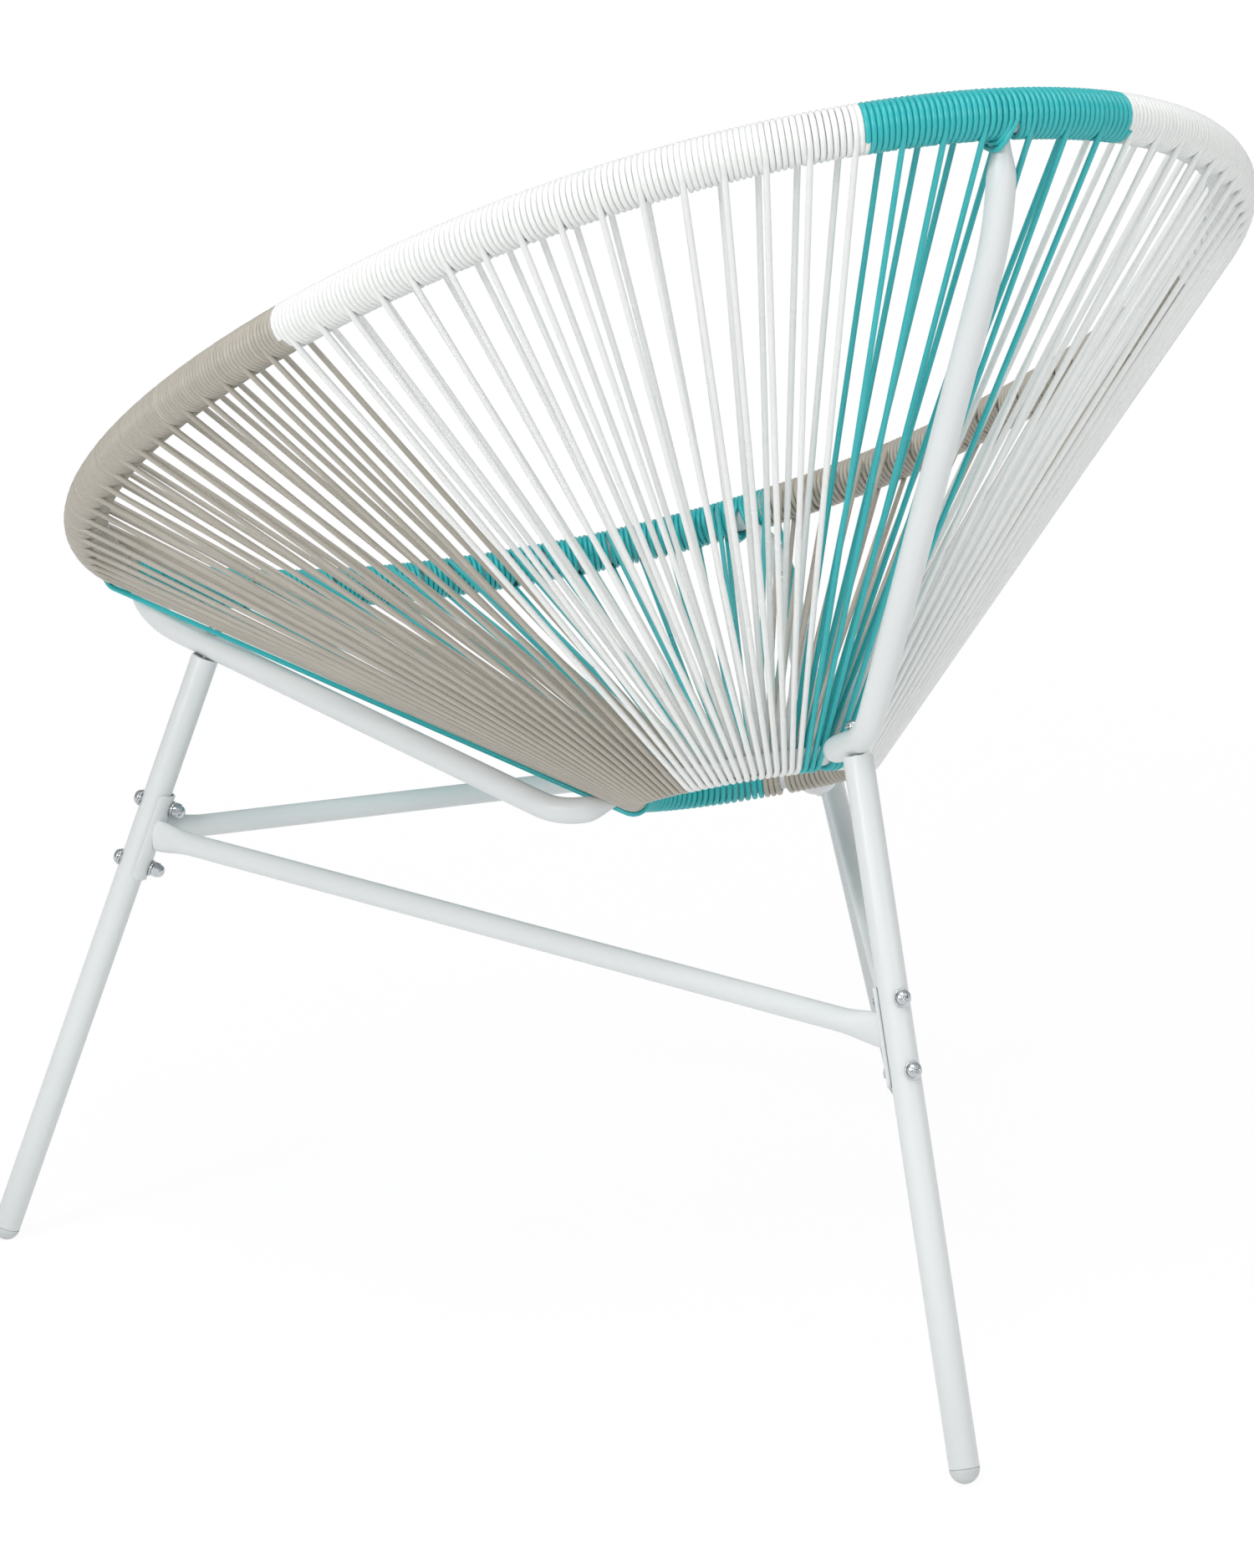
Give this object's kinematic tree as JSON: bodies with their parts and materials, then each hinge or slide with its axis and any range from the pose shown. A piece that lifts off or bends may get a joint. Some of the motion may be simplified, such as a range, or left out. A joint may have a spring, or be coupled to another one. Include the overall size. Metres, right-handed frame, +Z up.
{
  "type": "string lounge chair",
  "caption": "String lounge chair with a tilted oval hoop, a small seat ring, radial cord strands over a bucket seat, and legs braced by stretchers.",
  "frame": {"origin": "centre of the floor rectangle under the whole chair", "axes": "+Z up from the floor, -Y the way the sitter faces, +X to the sitter's left"},
  "size_m": [0.7776, 0.9031, 0.8697],
  "materials": {
    "frame": "satin white powder coat",
    "caps": "pale grey moulded plastic",
    "fasteners": "bright zinc",
    "cord_teal": "satin vinyl cord",
    "cord_white": "satin vinyl cord",
    "cord_taupe": "satin vinyl cord"
  },
  "bodies": {
    "root": {"cap_nut_left_lower": "fasteners", "cap_nut_left_upper": "fasteners", "cap_nut_rear_lower": "fasteners", "cap_nut_rear_upper": "fasteners", "cap_nut_right_lower": "fasteners", "cap_nut_right_upper": "fasteners", "foot_cap_left": "caps", "foot_cap_rear": "caps", "foot_cap_right": "caps", "head_washer_left_lower": "fasteners", "head_washer_left_upper": "fasteners", "head_washer_rear_lower": "fasteners", "head_washer_rear_upper": "fasteners", "head_washer_right_lower": "fasteners", "head_washer_right_upper": "fasteners", "hoop_tube": "frame", "leg_bolt_left": "fasteners", "leg_bolt_rear": "fasteners", "leg_bolt_right": "fasteners", "leg_bolt_washer_left": "fasteners", "leg_bolt_washer_rear": "fasteners", "leg_bolt_washer_right": "fasteners", "leg_left": "frame", "leg_rear": "frame", "leg_right": "frame", "leg_top_insert_left": "caps", "leg_top_insert_rear": "caps", "leg_top_insert_right": "caps", "nut_washer_left_lower": "fasteners", "nut_washer_left_upper": "fasteners", "nut_washer_rear_lower": "fasteners", "nut_washer_rear_upper": "fasteners", "nut_washer_right_lower": "fasteners", "nut_washer_right_upper": "fasteners", "saddle_bolt_left_lower": "fasteners", "saddle_bolt_left_upper": "fasteners", "saddle_bolt_rear_lower": "fasteners", "saddle_bolt_rear_upper": "fasteners", "saddle_bolt_right_lower": "fasteners", "saddle_bolt_right_upper": "fasteners", "saddle_plate_left": "frame", "saddle_plate_rear": "frame", "saddle_plate_right": "frame", "seat_ring": "frame", "strands_back_teal": "cord_teal", "strands_front_teal": "cord_teal", "strands_taupe_left": "cord_taupe", "strands_taupe_right": "cord_taupe", "strands_white_left": "cord_white", "strands_white_right": "cord_white", "stretcher_front": "frame", "stretcher_left": "frame", "stretcher_right": "frame", "support_tube_left": "frame", "support_tube_rear": "frame", "support_tube_right": "frame"}
  },
  "joints": []
}
